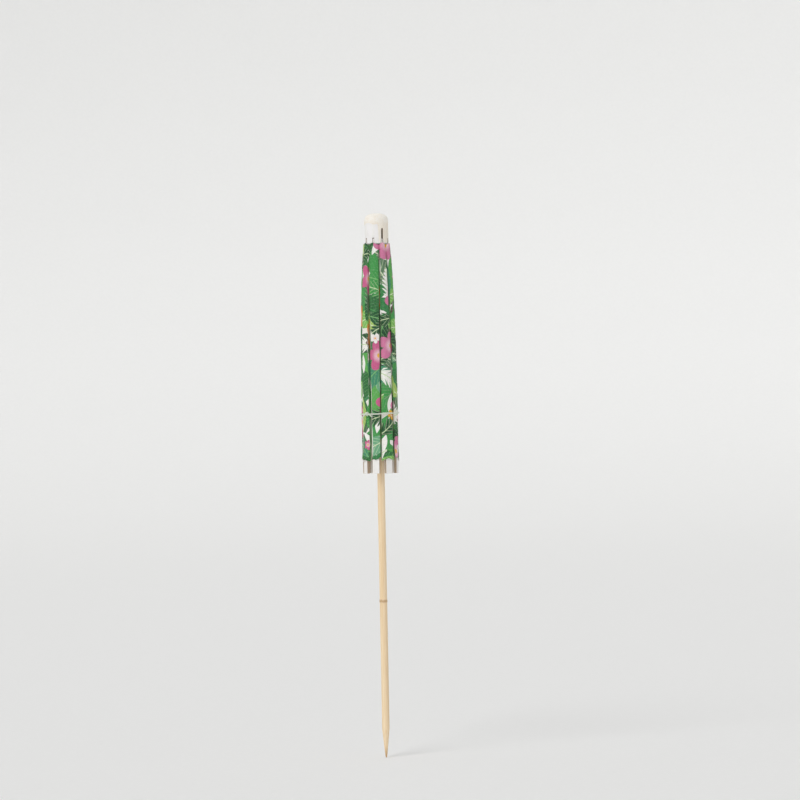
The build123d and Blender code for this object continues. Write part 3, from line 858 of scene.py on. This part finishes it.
class UMBRELLA_OT_tie(bpy.types.Operator):
    """Thread tie: two plies twisted round each other, knotted at one side with two short tails"""

    bl_idname = "umbrella.tie"
    bl_label = "Thread tie"

    # Where the knot lies round the canopy, and the radius of the loop
    KNOT, LOOP = math.radians(246), 6.93 * MM

    def twisted(self, name, route, sizes):
        """Two plies round a route of points, as one mesh."""
        deselect()
        lengths = [0.0]
        for a, b in zip(route, route[1:]):
            lengths.append(lengths[-1] + (b - a).length)
        plies = []
        for ply in range(2):
            curve = bpy.data.curves.new(f"{name}_ply_{ply}", "CURVE")
            curve.dimensions = "3D"
            curve.bevel_depth = sizes.ply
            curve.bevel_resolution = 2
            curve.use_fill_caps = True
            spline = curve.splines.new("POLY")
            spline.points.add(len(route) - 1)
            for k, point in enumerate(route):
                ahead = (route[min(k + 1, len(route) - 1)] - route[max(k - 1, 0)]).normalized()
                side = ahead.cross(Vector((0, 0, 1)) if abs(ahead.z) < 0.9 else Vector((1, 0, 0))).normalized()
                turn = math.tau * lengths[k] / sizes.lay + ply * math.pi
                offset = (side * math.cos(turn) + ahead.cross(side) * math.sin(turn)) * sizes.ply * 0.85
                spline.points[k].co = (*(point + offset), 1)
            strand = bpy.data.objects.new(curve.name, curve)
            bpy.context.collection.objects.link(strand)
            strand.select_set(True)
            bpy.context.view_layer.objects.active = strand
            plies.append(strand)
        bpy.ops.object.convert(target="MESH")
        bpy.ops.object.join()
        bpy.context.object.name = name
        return bpy.context.object

    def execute(self, context):
        sizes = context.scene.umbrella_tie
        height = TIE_HIGH[2] - 0.55 * MM
        radius, loop = self.LOOP, []
        for k in range(361):
            angle = self.KNOT + math.radians(k)
            wander = 0.18 * MM * math.sin(angle + 0.6) + 0.05 * MM * math.sin(angle * 5)
            loop.append(polar(radius + 0.03 * MM * math.cos(RIBS * angle), angle, height + wander))
        parts = [self.twisted("tie_loop", loop, sizes)]
        at = polar(radius + 0.34 * MM, self.KNOT, loop[0].z)
        out = Vector((math.cos(self.KNOT), math.sin(self.KNOT), 0))
        across = Vector((-out.y, out.x, 0))
        wrap = []
        for k in range(91):
            turn = math.tau * k / 30
            along_knot = across * (0.9 * MM * (k / 90 - 0.5)) + Vector((0, 0, 0.15 * MM * math.sin(turn * 0.5)))
            ring = out * math.cos(turn) * 0.36 * MM + Vector((0, 0, 1)) * math.sin(turn) * 0.48 * MM
            wrap.append(at + along_knot + ring)
        parts.append(self.twisted("tie_knot", wrap, sizes))
        for side, fall, curl in ((-1, 0.7, 0.5), (1, -0.25, 0.9)):
            tail = []
            for k in range(31):
                s = k / 30
                reach = out * (0.1 + 0.5 * s - 0.25 * s * s) + across * side * (0.25 + 1.5 * s)
                drop = Vector((0, 0, -fall * s - curl * s * s))
                tail.append(at + (reach + drop) * sizes.tail * 0.45)
            parts.append(self.twisted("tie_tail", tail, sizes))
        deselect()
        for part in parts:
            part.select_set(True)
        context.view_layer.objects.active = parts[0]
        bpy.ops.object.join()
        tie = context.object
        tie.name = "thread_tie"
        tie.data.materials.clear()
        # Its second colour is the painted shade between the thread's hairs
        tie.data.materials.append(spun_cotton("spun_cotton_tie", tuple(sizes.thread), "#c3cfb8"))
        smooth(tie, 60)
        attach(tie, "tie")
        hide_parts("tie_thread")
        return {"FINISHED"}


class UMBRELLA_OT_frame(bpy.types.Operator):
    """Board frame: gives the crown, ribs, struts, runner and small pieces their finishes"""

    bl_idname = "umbrella.frame"
    bl_label = "Board frame"

    def execute(self, context):
        settings = context.scene.umbrella_frame
        colours = tuple(settings.liner), tuple(settings.pulp)
        # The crown's cut board is a darker brown than the ribs': partly the board's own cut colour, partly painted
        # shade in its narrow slits
        crown_colours_with_slit_shade = linear("#f6f4f3"), linear("#7d6650")
        fray = 0.045 * MM
        rib_board = white_lined_board("white_lined_rib_board", RIB_HALF - fray, RIB_HALF, *colours, end=RIB_LOW[2])
        strut_board = white_lined_board("white_lined_strut_board", STRUT_HALF - fray, STRUT_HALF, *colours)
        wall = SLIT_HALF + 0.015 * MM
        crown_board = white_lined_board("white_lined_crown_board_with_slit_shade", wall + fray, wall, *crown_colours_with_slit_shade)
        # Its second colour is the painted shade between the thread's hairs
        cotton = spun_cotton("spun_cotton", linear("#f0ede4"), "#c9c4b6")
        for index in range(1, RIBS + 1):
            paint(f"rib_{index}", rib_board)
            paint(f"strut_{index}", strut_board)
            paint(f"rib_pin_{index}", cotton)
        for name in ("crown_segments", "runner_segments"):
            paint(name, crown_board)
        for name in ("crown_thread", "runner_thread"):
            paint(name, cotton)
        core = rolled_paper("rolled_paper", "#e2dccf", "#cbbfa9")
        for name in ("crown_core", "runner_tube"):
            paint(name, core)
        paint("spacer_sleeve", rolled_paper("rolled_newsprint", "#d5d1c7", "#9b988f"))
        paint("retainer_ring", clear_vinyl_tubing())
        return {"FINISHED"}


class UMBRELLA_OT_stage(bpy.types.Operator):
    """Stage: a pale paper floor that curves up all round, four soft lights and the camera"""

    bl_idname = "umbrella.stage"
    bl_label = "Stage"

    # The point that the camera looks at, seen from the front
    AIM = Vector((7.5 * MM, 0, 120.75 * MM))
    # Each light's name, the place that it shines from, its spread in degrees and its share of the key light
    LIGHTS = (
        ("key", (-0.7, -1.0, 1.1), 30, 1.0),
        ("fill", (1.0, -0.6, 0.7), 70, 0.3),
        ("back_right", (0.8, 1.0, 0.9), 60, 0.3),
        ("back_left", (-1.0, 0.7, 0.9), 60, 0.3),
    )

    def execute(self, context):
        settings = context.scene.umbrella_stage
        ground = PICK_LOW[2]
        rings = [(0.02, ground), (1.4, ground), (1.7, ground + 0.02), (1.95, ground + 0.11), (2.1, ground + 0.3)]
        rings += [(2.15, ground + 0.6), (2.15, ground + 0.9)]
        floor = lathe("studio_floor", rings, 96)
        select_only(floor)
        bpy.ops.object.mode_set(mode="EDIT")
        bpy.ops.mesh.select_all(action="DESELECT")
        sheet = bmesh.from_edit_mesh(floor.data)
        for face in sheet.faces:
            face.select = face.calc_center_median().z > ground + 0.85
        bmesh.update_edit_mesh(floor.data)
        bpy.ops.mesh.delete(type="FACE")
        bpy.ops.mesh.select_all(action="SELECT")
        bpy.ops.mesh.flip_normals()
        bpy.ops.object.mode_set(mode="OBJECT")
        apply_modifier(floor, "SUBSURF", levels=1, render_levels=1, use_limit_surface=False)
        floor.data.materials.append(studio_paper())
        smooth(floor, 80)
        world = bpy.data.worlds.new("studio")
        context.scene.world = world
        world.use_nodes = True
        world.node_tree.nodes["Background"].inputs[0].default_value = linear("#ffffff")
        world.node_tree.nodes["Background"].inputs[1].default_value = 0.28
        round_pick = Matrix.Rotation(settings.turn, 4, "Z")
        target = round_pick @ self.AIM
        for name, place, width, share in self.LIGHTS:
            lamp = bpy.data.lights.new(name, "SUN")
            lamp.angle = math.radians(width)
            lamp.energy = settings.light * share
            light = bpy.data.objects.new(name, lamp)
            context.collection.objects.link(light)
            light.location = round_pick @ Vector(place)
            light.rotation_euler = (-light.location).to_track_quat("-Z", "Y").to_euler()
        lens = bpy.data.cameras.new("camera")
        lens.lens = settings.lens
        lens.sensor_width = 36
        camera = bpy.data.objects.new("camera", lens)
        context.collection.objects.link(camera)
        distance = settings.view_width / 2 / math.tan(lens.angle / 2)
        camera.location = target + round_pick @ Vector((0, -distance, 0))
        camera.rotation_euler = (math.pi / 2, settings.roll, settings.turn)
        lens.clip_start = 0.01
        context.scene.camera = camera
        context.scene.view_settings.view_transform = "Standard"
        return {"FINISHED"}


class UMBRELLA_PT_pieces(bpy.types.Panel):
    """Lists the pieces and their sizes"""

    bl_label = "Cocktail umbrella pick"
    bl_idname = "UMBRELLA_PT_pieces"
    bl_space_type = "VIEW_3D"
    bl_region_type = "UI"
    bl_category = "Umbrella"

    def draw(self, context):
        column = self.layout.column()
        for operator in OPERATORS:
            column.operator(operator.bl_idname)
        for group in SETTINGS:
            settings = getattr(context.scene, group)
            for name in settings.__annotations__:
                column.prop(settings, name)


SETTINGS = {
    "umbrella_pick": PickSettings,
    "umbrella_cap": CapSettings,
    "umbrella_frame": FrameSettings,
    "umbrella_canopy": CanopySettings,
    "umbrella_tie": TieSettings,
    "umbrella_stage": StageSettings,
}
OPERATORS = (
    UMBRELLA_OT_stage,
    UMBRELLA_OT_frame,
    UMBRELLA_OT_pick,
    UMBRELLA_OT_cap,
    UMBRELLA_OT_canopy,
    UMBRELLA_OT_tie,
)


def register():
    for group in SETTINGS.values():
        bpy.utils.register_class(group)
    for name, group in SETTINGS.items():
        setattr(bpy.types.Scene, name, bpy.props.PointerProperty(type=group))
    for operator in OPERATORS:
        bpy.utils.register_class(operator)
    bpy.utils.register_class(UMBRELLA_PT_pieces)


def unregister():
    bpy.utils.unregister_class(UMBRELLA_PT_pieces)
    for operator in reversed(OPERATORS):
        bpy.utils.unregister_class(operator)
    for name, group in SETTINGS.items():
        delattr(bpy.types.Scene, name)
        bpy.utils.unregister_class(group)


def main():
    register()
    bpy.ops.umbrella.stage()
    bpy.ops.umbrella.frame()
    bpy.ops.umbrella.pick()
    bpy.ops.umbrella.cap()
    bpy.ops.umbrella.canopy()
    bpy.ops.umbrella.tie()


if __name__ == "__main__":
    main()
